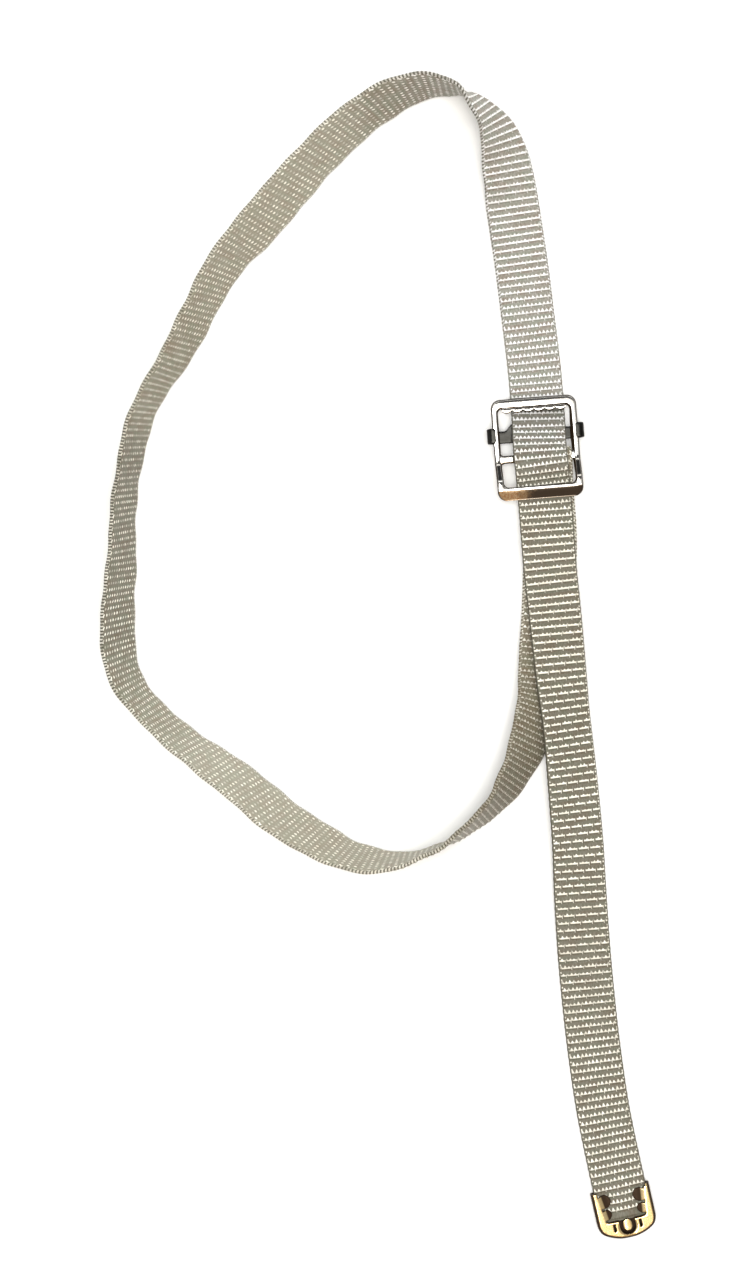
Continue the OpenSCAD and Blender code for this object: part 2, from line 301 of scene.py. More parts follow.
loop_route = [
    [1.1, 21, 0, 0], [0.7, 30, 0, 0], [0.1, 43, 0, 0], [-0.8, 56, 0, 2], [-1.6, 66, 0, 16],
    [-3.7, 76, 0, 40], [-8.4, 82.6, 0, 64], [-14.5, 86.2, 0, 90], [-22, 86.7, 0, 107],
    [-31, 83.6, 0, 118], [-40, 77.8, 0, 125], [-53, 66.2, 0, 129],
    [-58.5, 60.7, 0, 131], [-63.6, 55.7, 0, 128], [-68.7, 50.7, 0, 123],
    [-73.4, 44.5, 0, 119], [-77.5, 37.7, 0, 117], [-84.5, 26.7, 0, 113], [-88.8, 21.1, 0, 107],
    [-92.4, 15.1, 0, 108], [-96.4, 3, 0, 107], [-98.6, -7, 0, 109], [-99.8, -18, 0, 112],
    [-101.8, -31, 0, 119], [-102.3, -41, 0, 122], [-100, -49.5, 0, 116], [-95, -56.2, 0, 115],
    [-82.3, -68.5, 0, 125], [-77, -73, 0, 129], [-67.2, -82.5, 0, 131],
    [-58.8, -88.6, 0, 126], [-52, -92.5, 0, 118], [-45, -94.4, 0, 107], [-38, -94.3, 0, 95],
    [-30.4, -92.2, 0, 86], [-22.8, -88, 0, 74], [-16.2, -82.8, 0, 63], [-11.2, -76.3, 0, 51],
    [-6.6, -67.5, 0, 36], [-3.2, -58, 0, 18], [-1.6, -48, 0, 8],
    [0.0, -38, 0, 3], [0.9, -30, 0.2, 0], [1.5, -23, 1.42, 0],
    [1.75, -18, 1.42, 0], [1.75, -13, 1.42, 0]]
# The anchor fold, [y, z] of the centreline at x = 1.75: up to the middle bar, round it, and
# back under itself.
fold_x = 1.75
fold_route = (
    [[-13, 2.07], [-10.5, 2.07], [-8.5, 2.42], [-6.5, 3.35], [-4.8, 4.25], [-3.4, 4.5],
     [-1.85, 4.5]]
    + [[-1.85 + 1.3 * math.cos(math.radians(a)), 3.2 + 1.3 * math.sin(math.radians(a))]
       for a in range(75, -76, -15)]
    + [[-1.85, 1.9], [-3.4, 1.75], [-6, 1.07], [-8.5, 0.72], [-21, 0.72]])

route = np.array(tail_route + buckle_route + loop_route, float)


def slopes(r):
    """Directions of the curve at its points."""
    step = np.diff(r, axis=0)
    size = np.linalg.norm(step, axis=1)[:, None]
    way = step / size
    inner = (way[1:] * size[:-1] + way[:-1] * size[1:]) / (size[:-1] + size[1:])
    return np.vstack([way[:1], inner, way[-1:]])


def on_curve(r, g):
    """Points of the smooth curve through r at places g, where whole numbers are its points."""
    g = np.clip(np.asarray(g, float), 0, len(r) - 1)
    i = np.minimum(g.astype(int), len(r) - 2)
    u = (g - i)[:, None]
    m, d = slopes(r), np.linalg.norm(r[i + 1] - r[i], axis=1)[:, None]
    return ((2 * u**3 - 3 * u**2 + 1) * r[i] + (u**3 - 2 * u**2 + u) * d * m[i]
            + (3 * u**2 - 2 * u**3) * r[i + 1] + (u**3 - u**2) * d * m[i + 1])


def centre(g):
    """Centreline [x, y, z] of the webbing at places g of the route, in millimetres."""
    p = on_curve(route, g)
    lean = np.radians(p[:, 3])
    z = p[:, 2] + WEB_W / 2 * np.abs(np.sin(lean)) + WEB_T / 2 * np.abs(np.cos(lean))
    return np.column_stack([p[:, :2], z])


table_g = np.linspace(0, len(route) - 1, (len(route) - 1) * 40 + 1)
table_s = np.concatenate([[0], np.cumsum(np.linalg.norm(np.diff(centre(table_g), axis=0), axis=1))])
fold_line = np.array(fold_route)
fold_g = np.linspace(0, len(fold_line) - 1, (len(fold_line) - 1) * 40 + 1)
fold_s = np.concatenate(
    [[0], np.cumsum(np.linalg.norm(np.diff(on_curve(fold_line, fold_g), axis=0), axis=1))])


def pucker(s):
    """Small uneven turns of the free loop, in radians."""
    wave = np.sin(s * 0.71) + 0.8 * np.sin(s * 0.43 + 1.0) + 0.6 * np.sin(s * 0.19 + 2.0)
    return 0.022 * wave * smooth(s, 222, 245) * (1 - smooth(s, 590, 620))


def route_place(s):
    """Centre, across and up of the webbing s millimetres along the route."""
    g = np.interp(s, table_s, table_g)
    flat_lean = np.radians(on_curve(route, g)[:, 3])
    lean = flat_lean + pucker(s)
    middle = centre(g)
    middle[:, 2] += WEB_W / 2 * (np.abs(np.sin(lean)) - np.abs(np.sin(flat_lean)))
    lean = lean[:, None]
    t = unit(centre(g + 0.02) - centre(g - 0.02))
    side = unit(np.cross(t, [0, 0, 1]))
    top = np.cross(side, t)
    up = np.cos(lean) * top + np.sin(lean) * side
    across = np.cos(lean) * side - np.sin(lean) * top
    return middle, across, up


def fold_place(s):
    """The same for the anchor fold, whose s runs on from the end of the route."""
    g = np.interp(s - table_s[-1], fold_s, fold_g)
    yz = on_curve(fold_line, g)
    d = unit(on_curve(fold_line, g + 0.05) - on_curve(fold_line, g - 0.05))
    n = len(g)
    middle = np.column_stack([np.full(n, fold_x), yz])
    return middle, np.tile([1.0, 0, 0], (n, 1)), np.column_stack([np.zeros(n), -d[:, 1], d[:, 0]])


def rows_at(s):
    """How many rows of the weave there are up to s."""
    rows = s / RIB
    for a, b, spacing in CLOSER:
        rows = rows + (b - a) * (1 / spacing - 1 / RIB) * np.clip((s - a) / (b - a), 0, 1)
    return rows


def weave_height(u, s, back):
    """How far the weave stands out of its grooves, in millimetres. u runs from the left edge."""
    places, slants = zip(*SLANT)
    f = rows_at(s + np.interp(s, places, slants) * (u - WEB_W / 2))
    k = np.floor(f)
    f = f - k
    odd = k % 2
    a = u / CROWN + odd / 2
    a = a - np.floor(a) - 0.5
    inner = smooth(np.minimum(u, WEB_W - u), 0.2, 0.9)
    rib = smooth(f, 0.20, 0.46) * (1 - smooth(f, 0.56, 1.0))
    if back:
        rib = 0.6 * np.sin(np.pi * np.clip((f - 0.12) / 0.88, 0, 1)) ** 1.5
    crown = np.cos(np.pi * a) ** 2
    small = 0.5 + 0.5 * np.cos(4 * np.pi * f)
    return (RIB_RISE * rib + CROWN_RISE * rib * crown) * inner + 0.05 * small * (1 - inner)


def weave_uvs(u, s):
    """A pair [u, s] for each face corner of a webbing. The front face's u is as it is, the back
    face's has BACK added, and each half of an edge goes with the face beside it."""
    cols, n = len(u), len(s)
    front_u = np.concatenate([u, [WEB_W - 0.05, WEB_W + 0.05, WEB_W + 0.1], u[::-1],
                              [-0.1, -0.05, 0.05]])
    m = len(front_u)
    middle_right, middle_left = cols + 1, 2 * cols + 4
    j = np.arange(m)
    shift = np.where((j >= middle_right) & (j < middle_left), BACK, 0)
    quads = np.zeros((n - 1, m, 4, 2))
    quads[..., 0, 0] = quads[..., 1, 0] = front_u + shift
    quads[..., 2, 0] = quads[..., 3, 0] = front_u[(j + 1) % m] + shift
    quads[..., 0, 1] = quads[..., 3, 1] = s[:-1, None]
    quads[..., 1, 1] = quads[..., 2, 1] = s[1:, None]
    # The cut ends have the colour of the ground between two ribs.
    cap = np.column_stack([front_u, np.full(m, 0.12 * RIB)])
    return np.vstack([quads.reshape(-1, 2), cap, cap])


def webbing(name, place, s0, s1, steps, columns, material, press=None):
    """A stretch of webbing from s0 to s1. steps is how many rows of points each rib gets."""
    every_s = np.arange(s0 - 2, s1 + 2, 0.5)
    ribs = np.arange(math.floor(rows_at(s0)) - 1, math.ceil(rows_at(s1)) + 1)
    rows = np.sort((ribs[:, None] + np.array(RIB_POINTS[steps])).ravel())
    s = np.interp(rows, rows_at(every_s), every_s)
    s = np.concatenate([[s0], s[(s > s0 + 0.06) & (s < s1 - 0.06)], [s1]])
    c, across, up = place(s)
    u = np.linspace(0.22, WEB_W - 0.22, columns + 1)
    core = WEB_T / 2 - RIB_RISE - CROWN_RISE
    half = (core + 0.10) * (1 - 0.34 * (1 - smooth(np.minimum(u, WEB_W - u), 0.1, 1.0)))
    part = rows_at(s) % 1
    grow = 0.07 * (smooth(part, 0.2, 0.5) * (1 - smooth(part, 0.6, 1.0)) - 0.5)
    grid_u, grid_s = np.meshgrid(u, s)
    top = half + weave_height(grid_u, grid_s, False)
    low_side = half + weave_height(grid_u, grid_s, True)
    if press is not None:
        top = top - press(c[:, None] + across[:, None] * (grid_u - WEB_W / 2)[..., None])
    off = grid_u - WEB_W / 2

    def edge(sign):
        """The three points of an edge: how far out they are, and how far up."""
        out = sign * ((WEB_W / 2 + grow)[:, None] - np.array([0.05, 0.0, 0.05]))
        return out, np.tile(sign * np.array([0.20, 0.0, -0.20]), (len(s), 1))

    right, right_up = edge(1)
    left, left_up = edge(-1)
    x = np.hstack([off, right, off[:, ::-1], left])
    h = np.hstack([top, right_up, -low_side[:, ::-1], left_up])
    rings = (c[:, None] + across[:, None] * x[..., None] + up[:, None] * h[..., None]) * MM + BUCKLE
    points, faces = loft(rings)
    return make_object(name, points, faces, material, uvs=weave_uvs(u, s))


def path_of(place, s0, s1, step=2.5):
    """Points of the centreline in metres."""
    s = np.linspace(s0, s1, max(2, int(abs(s1 - s0) / step)))
    return [tuple(p) for p in (place(s)[0] * MM + BUCKLE)]


# ---------------------------------------------------------------- webbing: material


def weave_cell(sh):
    """Where the shaded point lies in the weave, as shader values. k and j count the rows and the
    crowns of a row, and f and a are the places within them."""
    node = sh.tree.nodes.new("ShaderNodeUVMap")
    node.uv_map = "weave"
    u_any, along, _ = sh.split(node.outputs[0])
    at = SimpleNamespace(along=along)
    at.back = u_any.above(BACK / 2)
    at.front = 1 - at.back
    at.u = u_any - at.back * BACK
    slant = 0.0
    for (start, first), (stop, last) in zip(SLANT, SLANT[1:]):
        slant = along.ramp(start, stop, 0.0, last - first, "LINEAR") + slant
    level = along + slant * (at.u - WEB_W / 2)
    at.rows = level / RIB
    for start, stop, spacing in CLOSER:
        more = (stop - start) * (1 / spacing - 1 / RIB)
        at.rows = at.rows + level.ramp(start, stop, 0.0, more, "LINEAR")
    at.k, at.f = at.rows.floor(), at.rows.fract()
    odd = (at.k * 0.5).fract() * 2
    at.col = at.u / CROWN + odd * 0.5
    at.j, at.a = at.col.floor(), at.col.fract() - 0.5
    at.edge = at.u.min(WEB_W - at.u)
    at.luck = sh.chance(sh.vector(at.j + 0.5, at.k + 0.5, at.back))
    at.luck2 = sh.chance(sh.vector(at.j + 7.5, at.k + 3.5, at.back))
    at.third = 1 - ((at.j + odd + 0.05) / 3).fract().above(0.3)
    return at


def strap_runs(along):
    """Slow changes along the strap, each from 0 to 1: even where the line on the crowns is
    strongest;
    back, from the loop's return on, and dim, its first part, are painted shade; under_bar is
    a painted shadow under the top bar; pale is painted light; cool is a cooler tint; and deep is
    how far the cloth goes towards the painted shade of the ground between the ribs."""
    run = SimpleNamespace()
    run.even = along.ramp(30, 85) * (1 - along.ramp(160, 172)) + along.ramp(215, 235)
    # The loop's return and its first part are painted shade.
    run.back = along.ramp(535, 560)
    run.dim = run.back * (1 - along.ramp(590, 610))
    # Painted shadow under the top bar.
    run.under_bar = along.ramp(188, 195.5) * (1 - along.ramp(197, 200))
    # Painted light on these runs.
    run.pale = along.ramp(462, 482) * (1 - along.ramp(528, 546)) \
        + along.ramp(294, 308) * (1 - along.ramp(342, 372)) * 0.7
    run.cool = along.ramp(176, 190) * (1 - along.ramp(270, 310))
    # Painted shade, towards the dark ground: the tail and buckle, the loop's left side, the return
    # and under the top bar.
    left = along.ramp(385, 400) * (1 - along.ramp(440, 465))
    run.deep = (1 - along.ramp(178, 206)) * 0.49 + left * 0.36 + run.back * 0.38 \
        + run.dim * 0.12 + run.under_bar * 0.36
    return run


def front_crowns(at, run):
    """Front face: pointed crowns that stand on one straight line, broken at the binder ticks. The
    crowns are the weave's own; their pale colour is a painted highlight.
    """
    a, f = at.a, at.f
    peak = 0.72 + at.luck * 0.18 - run.even * 0.10
    half = f.ramp(0.40, peak, 0.46, 0.07, "LINEAR")
    skew = a + (at.luck2 - 0.5) * 0.14
    tooth = (half - skew.abs()).ramp(-0.05, 0.08) * f.ramp(0.34, 0.41) \
        * (peak - f).ramp(-0.03, 0.06)
    gap = at.third * (1 - (a + 0.04).abs().ramp(0.14, 0.27)) * (1 - at.along.ramp(120, 150) * 0.6)
    wave = (a * 6.283).op("COSINE") * 0.025 + at.luck2 * 0.03
    line = f.ramp(0.31, 0.36) \
        * (1 - (f - wave).ramp(0.46 + run.even * 0.06, 0.53 + run.even * 0.08))
    # On the return the line fades as painted shade.
    strength = (0.34 + at.luck * 0.2 + run.even * 0.62 - run.back * 1.3).max(0.0).min(1.0)
    line = line * strength * (1 - gap)
    tooth = tooth * (1 - gap * run.even)
    tick = at.third * (1 - (a + 0.28).abs().ramp(0.05, 0.14)) * f.ramp(0.10, 0.18) \
        * (1 - f.ramp(0.36, 0.42))
    return (tooth * (0.82 + at.luck2 * 0.18)).max(line).max(tick * (0.45 + at.luck * 0.4))


def back_crowns(at):
    """Back face: oval crowns in short groups, with every third one smaller and turned. The crowns
    are the weave's own; their pale colour is a painted highlight.
    """
    lean = (at.f - 0.6) * (at.third * 0.55 + (at.luck2 - 0.5) * 0.3)
    turn = (at.a + lean) / (0.27 - at.third * 0.06)
    rise = (at.f - 0.58) / (0.21 + at.luck * 0.06)
    oval = 1 - (turn * turn + rise * rise).ramp(0.45, 1.25)
    return oval * (at.luck.ramp(0.15, 0.70) * 0.66 + 0.34)


def selvedge(at, run):
    """The webbing's edges: how pale they are, their loops and beads painted pale as highlights, and
    how far the cloth goes towards the ground's dark colour, which carries the painted shade along
    the strap and on the tail's front edges, and the dark gaps of the cord. There is one small loop
    between the ribs, and the loop's edges are a cord with knots."""
    bead_f = (at.f - 0.86) / 0.13
    bead_e = (at.edge - 0.42) / (0.14 + at.luck * 0.05)
    bead = (1 - (bead_e * bead_e + bead_f * bead_f).ramp(0.4, 1.3)) * (0.50 + at.luck2 * 0.5)
    # Painted shade along the tail's front edges.
    rim = (1 - at.edge.ramp(0.02, 0.30)) * at.front * (1 - at.along.ramp(200, 215))
    knot = ((at.rows * 2).fract() - 0.5).abs().ramp(0.14, 0.34)
    cord = (1 - at.edge.ramp(0.30, 0.58)) * at.along.ramp(205, 225)
    pale = cord * (1 - knot) * (0.12 + at.luck * 0.62)
    bright = (bead * at.along.ramp(8, 12)).max(pale)
    return bright, (run.deep + rim * 0.35 + cord * knot * 0.60).min(0.85)


def cloth_colour(sh, at, run, fibre, groove, shade_and_cord_gaps):
    """The ground of the weave: filaments of the warp yarns, slow changes of hue, painted shade on
    the ribs' far slopes, in the grooves between the crowns and along the strap, and painted light
    on the pale runs.
    """
    patch = sh.noise(sh.vector(at.u * 0.30, at.k * 0.55, at.back * 9), 1.0, 2.0)
    hue = sh.noise(sh.vector(at.u * 0.22, at.k * 0.9, at.back * 5 + 3), 1.0, 1.0)
    # Painted shade on each rib's slope that faces away from the light, and a little over the back
    # face.
    shade = at.f.ramp(0.05, 0.34) * (1 - at.f.ramp(0.36, 0.44)) * at.front + 0.25 * at.back
    dark = sh.mix(hue.ramp(0.40, 0.60), (0.142, 0.112, 0.068), (0.145, 0.143, 0.088))
    warm = sh.mix(hue.ramp(0.38, 0.62), (0.330, 0.286, 0.212), (0.326, 0.336, 0.252))
    mid = sh.mix(patch.ramp(0.35, 0.65), warm, (0.385, 0.368, 0.292))
    cloth = sh.mix((fibre.ramp(0.30, 0.68) * 0.70 + 0.30) * (1 - shade * 0.55), dark, mid)
    # Painted shade in the grooves between the crowns.
    cloth = sh.mix(groove * 0.35, cloth, (0.10, 0.085, 0.06))
    # Painted light on the pale runs.
    cloth = sh.mix(run.pale * 0.32, cloth, (0.52, 0.50, 0.42))
    # The dark ground that the painted shade goes to, browner from the loop's return on.
    ground = sh.mix(run.back, (0.026, 0.022, 0.012), (0.072, 0.052, 0.022))
    return sh.mix(shade_and_cord_gaps, cloth, ground)


def webbing_material():
    """Woven tape: crowns painted pale as highlights on a warm grey ground with painted shade,
    different on the two faces.
    """
    sh = Shader("webbing_weave", Metallic=0.0, Specular_IOR_Level=0.36, Sheen_Weight=0.10,
                Sheen_Roughness=0.4)
    at = weave_cell(sh)
    run = strap_runs(at.along)
    crest = (at.front * front_crowns(at, run) + at.back * back_crowns(at)) \
        * at.edge.ramp(0.22, 0.40) * at.along.ramp(1.6, 2.6)
    edge_bright, shade_and_cord_gaps = selvedge(at, run)
    # The painted highlights are dimmed as painted shade on the return and as a painted shadow under
    # the top bar.
    bright = crest.max(edge_bright) * (1 - run.dim * 0.42 - run.under_bar * 0.45)

    fibre = sh.noise(sh.vector(at.u * 5.0 + at.luck * 0.3, at.along * 0.55, at.back), 1.6, 3.0, 0.6)
    groove = (at.col.fract() - 0.5).abs().ramp(0.34, 0.50)
    slow = sh.noise(sh.vector(0.0, at.along * 0.012, 4.0), 1.0, 1.0)
    # The pale colour of the crowns and the edge loops: a painted highlight.
    crown_highlight_colour = sh.mix(at.luck2, (0.88, 0.85, 0.73), (0.97, 0.95, 0.85))
    colour = sh.mix(bright, cloth_colour(sh, at, run, fibre, groove, shade_and_cord_gaps), crown_highlight_colour)
    colour = sh.mix(slow.ramp(0.35, 0.62) * 0.20, colour, (0.55, 0.47, 0.36), "MULTIPLY")
    colour = sh.mix(run.cool, colour, (0.97, 0.99, 1.12), "MULTIPLY")
    rough = 0.58 - bright * 0.28 + (fibre - 0.5) * 0.1
    height = bright * 0.7 + fibre * 0.22 - groove * 0.12
    sh.set(Base_Color=colour, Roughness=rough, Normal=sh.bump(height, 0.00012, 0.8))
    return sh.material


# ---------------------------------------------------------------- strap tip: place

TIP_AT = np.array([7.7, -189.1, 0])
TIP_TURN = math.radians(8.3)
TIP_HALF_W, TIP_L, TIP_T, TIP_H = 7.1, 12.0, 0.45, 2.3


def from_tip(p):
    """Millimetres in the tip's own frame to metres in the model's."""
    c, s = math.cos(TIP_TURN), math.sin(TIP_TURN)
    x, y = p[..., 0] * c - p[..., 1] * s, p[..., 0] * s + p[..., 1] * c
    return (np.stack([x, y, p[..., 2]], -1) + TIP_AT) * MM + BUCKLE


def to_tip(p):
    """Millimetres from the buckle's centre to the tip's own frame."""
    q = p - TIP_AT
    c, s = math.cos(TIP_TURN), math.sin(TIP_TURN)
    return q[..., 0] * c + q[..., 1] * s, -q[..., 0] * s + q[..., 1] * c


CLAWS = [(4.3, 9.7, 1.6), (4.3, 6.5, 1.2)]


def claw_press(p):
    """How deep the tip's claws press the webbing's upper face, in millimetres."""
    x, y = to_tip(p)
    depth = np.zeros(x.shape)
    for cx, cy, r in CLAWS:
        d2 = (np.abs(x) - cx) ** 2 + (y - cy) ** 2
        depth = np.maximum(depth, 0.65 * np.exp(-d2 / (2.2 * r * r)))
    return depth


# ---------------------------------------------------------------- metals


def metal_material(name, colour, tint, rough, wear, grain, dark_reflection_colour, level, inside=0.0, bronze_reflection_x=None,
                   relief=0.00001):
    """Polished plated metal: slow tint changes, fine scratches, rubbed spots, and a painted dark
    reflection on the faces that turn down from level. Below the height inside all but the
    undersides get the painted dark reflection as painted shade, and faces towards -y get a painted
    brown-gold reflection up to the place bronze_reflection_x on x, both in millimetres."""
    sh = Shader(name)
    place = sh.object_place()
    x, y, z = sh.split(place)
    cloud = sh.noise(place, 260.0, 3.0, 0.6)
    fine = sh.noise(place, 2600.0, 4.0, 0.65)
    scratch = sh.noise(sh.vector(x * 9000.0, y * 900.0 + x * 700.0, z * 4000.0), 1.0, 2.0)
    spots = sh.noise(place, 900.0, 2.0).ramp(0.62, 0.72)
    base = sh.mix(cloud.ramp(0.35, 0.65), colour, tint)
    base = sh.mix(spots * wear, base, tuple(c * 0.55 for c in tint))
    normal = sh.tree.nodes.new("ShaderNodeNewGeometry").outputs["Normal"]
    _, ny, nz = sh.split(normal)
    # Painted reflection on the faces towards -y: brown-gold left of bronze_reflection_x, dark
    # grey-brown right of it.
    if bronze_reflection_x is not None:
        along = (x * 1000 + (cloud - 0.5) * 9).ramp(bronze_reflection_x - 1.5, bronze_reflection_x + 1.5)
        patch = sh.mix(fine.ramp(0.35, 0.6), (0.80, 0.50, 0.25), (1.0, 0.86, 0.62))
        patch = sh.mix(along, patch, (0.14, 0.125, 0.110))
        base = sh.mix((ny * -1).ramp(0.24, 0.34), base, patch)
    # Painted dark reflection on the faces turned from level, and painted shade in the hollow below
    # inside.
    turned = nz.abs() + (cloud - 0.5) * 0.08
    dark_reflection_and_shade = 1 - turned.ramp(level, level + 0.11)
    if inside:
        dark_reflection_and_shade = dark_reflection_and_shade.max((z * 1000).ramp(inside, inside - 0.25) * nz.ramp(-0.5, -0.3))
    base = sh.mix(dark_reflection_and_shade, base, dark_reflection_colour)
    roughness = (fine.ramp(0.3, 0.7) * 0.5 + cloud * 0.5) * grain + rough + dark_reflection_and_shade * 0.25
    height = scratch * 0.25 + fine * 0.35 + cloud * 0.6
    sh.set(Base_Color=base, Roughness=roughness, Metallic=1 - dark_reflection_and_shade * 0.75,
           Specular_IOR_Level=0.5 - dark_reflection_and_shade * 0.46, Normal=sh.bump(height, relief, 0.5))
    return sh.material


def thread_material():
    """Twisted thread, with painted shade in the grooves between the plies."""
    sh = Shader("stitch_thread", Metallic=0.0, Specular_IOR_Level=0.5, Sheen_Weight=0.3)
    x, y, z = sh.split(sh.object_place())
    twist = (x * 2600.0 + y * 900.0 + z * 1400.0).fract() - 0.5
    fibre = sh.noise(sh.vector(x * 3000.0, y * 9000.0, z * 9000.0), 1.0, 3.0)
    colour = sh.mix(fibre.ramp(0.3, 0.7), (0.60, 0.56, 0.46), (0.80, 0.77, 0.68))
    # Painted shade in the grooves between the plies.
    colour = sh.mix(twist.abs().ramp(0.3, 0.5) * 0.5, colour, (0.30, 0.27, 0.20))
    sh.set(Base_Color=colour, Roughness=fibre * 0.2 + 0.45,
           Normal=sh.bump(fibre * 0.3 - twist.abs(), 0.00005, 0.7))
    return sh.material


weave = webbing_material()
# The last colour of each metal is its painted dark reflection; the buckle also gets a painted
# brown-gold reflection towards -y, and the tip painted shade in its hollow.
buckle_metal = metal_material("buckle_plating", (0.86, 0.84, 0.80), (0.80, 0.76, 0.69), 0.07, 0.25,
                              0.08, (0.030, 0.018, 0.010), 0.80, bronze_reflection_x=BUCKLE[0] * 1000 - 3.4)
grip_metal = metal_material("grip_plating", (0.040, 0.039, 0.036), (0.026, 0.025, 0.022), 0.17, 0.2,
                            0.12, (0.012, 0.011, 0.010), 0.66)
tip_metal = metal_material("tip_brass", (0.96, 0.77, 0.41), (0.91, 0.67, 0.33), 0.09, 0.5, 0.10,
                           (0.040, 0.024, 0.014), 0.89, inside=2.20, relief=0.00004)
thread = thread_material()

# ---------------------------------------------------------------- webbing: pieces



def s_at(g):
    """Millimetres along the route at place g, where whole numbers are the route's points."""
    return float(np.interp(g, table_g, table_s))


s_bottom_bar = s_at(len(tail_route))
s_top_bar = s_at(28.5)
s_join = float(table_s[-1])
s_end = s_join + float(fold_s[-1])

woven_tail = webbing("woven_tail", route_place, 0, s_bottom_bar, 6, 54, weave, claw_press)
woven_run = webbing("woven_run", route_place, s_bottom_bar, s_top_bar, 8, 54, weave)
woven_loop = webbing("woven_loop", route_place, s_top_bar, s_join, 5, 40, weave)
woven_fold = webbing("woven_fold", fold_place, s_join, s_end, 8, 40, weave)
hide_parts("webbing_tail")
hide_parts("webbing_in_buckle")
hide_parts("webbing_loop_top", "webbing_loop_side", "webbing_loop_bottom",
            "webbing_return")
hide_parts("webbing_anchor_fold")

# ---------------------------------------------------------------- strap tip: shape

# The mouth between the claws starts at MOUTH_Y. The notch is a round hole with its own tongue.
MOUTH_Y = 4.4
NOTCH_Y, NOTCH_R = 2.9, 1.8
# The rim's points are found along rays from [0, RIM_Y]. Its section turns with RIM_R, and its two
# flat ends reach RIM_REACH inwards.
RIM_Y, RIM_R, RIM_REACH = 5.0, 0.92, 0.95
# [x from, x to, y from, y to] round the whole tip.
TIP_BOX = (-7.2, 7.2, -0.1, 12.1)


def sd_round_box(x, y, cx, cy, hx, hy, r):
    """Signed distance to a rectangle with round corners: centre, half sizes and radius."""
    dx, dy = np.abs(x - cx) - hx + r, np.abs(y - cy) - hy + r
    return np.hypot(np.maximum(dx, 0), np.maximum(dy, 0)) + np.minimum(np.maximum(dx, dy), 0) - r


def soft_min(a, b, k):
    """The smaller of a and b, blended where they differ by less than k."""
    h = np.clip(0.5 + 0.5 * (b - a) / k, 0, 1)
    return b * (1 - h) + a * h - k * h * (1 - h)


def tip_outline(x, y):
    """Negative inside the tip's outline, in its own frame."""
    side = sd_round_box(x, y, 0, TIP_L, TIP_HALF_W, TIP_L, 4.6)
    belly = np.where(y < 11, np.hypot(x, y - 11) - 11, -5)
    return -soft_min(-side, -belly, 0.3)


def mouth_side(y):
    """Half the mouth's width at y."""
    return 4.75 + 0.12 * (y - MOUTH_Y)


def front_sheet(x, y):
    """Negative inside the tip's front sheet: the outline less the mouth, notch and slots."""
    ax = np.abs(x)
    mouth = -soft_min(mouth_side(y) - ax, y - 4.7, 0.6)
    claws = np.minimum(*(np.hypot(ax - cx, y - cy) - r for cx, cy, r in CLAWS))
    mouth = -soft_min(-mouth, claws, 0.5)
    notch = soft_min(np.hypot(x, y - NOTCH_Y) - NOTCH_R,
                     np.maximum(ax - NOTCH_R, np.maximum(NOTCH_Y - y, y - 5.5)), 0.05)
    slots = sd_round_box(ax, y, 3.15, 3.15, 0.26, 0.95, 0.24)
    hole = np.minimum(np.minimum(mouth, notch), slots)
    return np.maximum(tip_outline(x, y) + 0.55, np.maximum(-hole, y - TIP_L + 0.3 + 0.04 * x))


def back_sheet(x, y):
    return np.maximum(tip_outline(x, y) + 0.55, y - TIP_L + 0.1)


def tongue_shape(x, y):
    return sd_round_box(x, y, 0, 3.35, 1.15, 1.4, 1.1)


def region(sd, x0, x1, y0, y1, step):
    """Grid points and quads of the region where sd is negative, its rim moved onto sd = 0."""
    nx, ny = int(round((x1 - x0) / step)) + 1, int(round((y1 - y0) / step)) + 1
    x, y = np.meshgrid(np.linspace(x0, x1, nx), np.linspace(y0, y1, ny))
    cx, cy = (x[:-1, :-1] + x[1:, 1:]) / 2, (y[:-1, :-1] + y[1:, 1:]) / 2
    kept = sd(cx, cy) < 0
    uses = np.zeros((ny, nx), int)
    for di in (0, 1):
        for dj in (0, 1):
            uses[di:ny - 1 + di, dj:nx - 1 + dj] += kept
    rim = (uses > 0) & (uses < 4)
    e = 0.01
    for _ in range(4):
        d = sd(x, y)
        gx, gy = (sd(x + e, y) - sd(x - e, y)) / (2 * e), (sd(x, y + e) - sd(x, y - e)) / (2 * e)
        size = np.maximum(gx * gx + gy * gy, 0.2)
        x = np.where(rim, x - np.clip(d / size * gx, -step, step) * 0.9, x)
        y = np.where(rim, y - np.clip(d / size * gy, -step, step) * 0.9, y)
    index = -np.ones((ny, nx), int)
    index[uses > 0] = np.arange((uses > 0).sum())
    i, j = np.nonzero(kept)
    quads = np.column_stack([index[i, j], index[i, j + 1], index[i + 1, j + 1], index[i + 1, j]])
    return x[uses > 0], y[uses > 0], quads


def plate(sd, box, step, top, thickness):
    """A closed plate over a region. top gives its upper face and thickness how thick it is."""
    x, y, quads = region(sd, *box, step)
    z = top(x, y)
    n = len(x)
    soft = 0.07
    # The faces stop a little short of the cut edge, which gives it a small round.
    d = sd(x, y)
    inset = smooth(-d, 0.0, 0.16)
    upper = np.column_stack([x, y, z - soft * (1 - inset)])
    lower = np.column_stack([x, y, z - thickness + soft * (1 - inset)])
    faces = [tuple(q) for q in quads.tolist()]
    faces += [tuple(n + k for k in q[::-1]) for q in quads.tolist()]
    edges = {(a, b): True for q in quads.tolist() for a, b in zip(q, q[1:] + q[:1])}
    for a, b in edges:
        if (b, a) not in edges:
            faces.append((b, a, a + n, b + n))
    return np.vstack([upper, lower]), faces


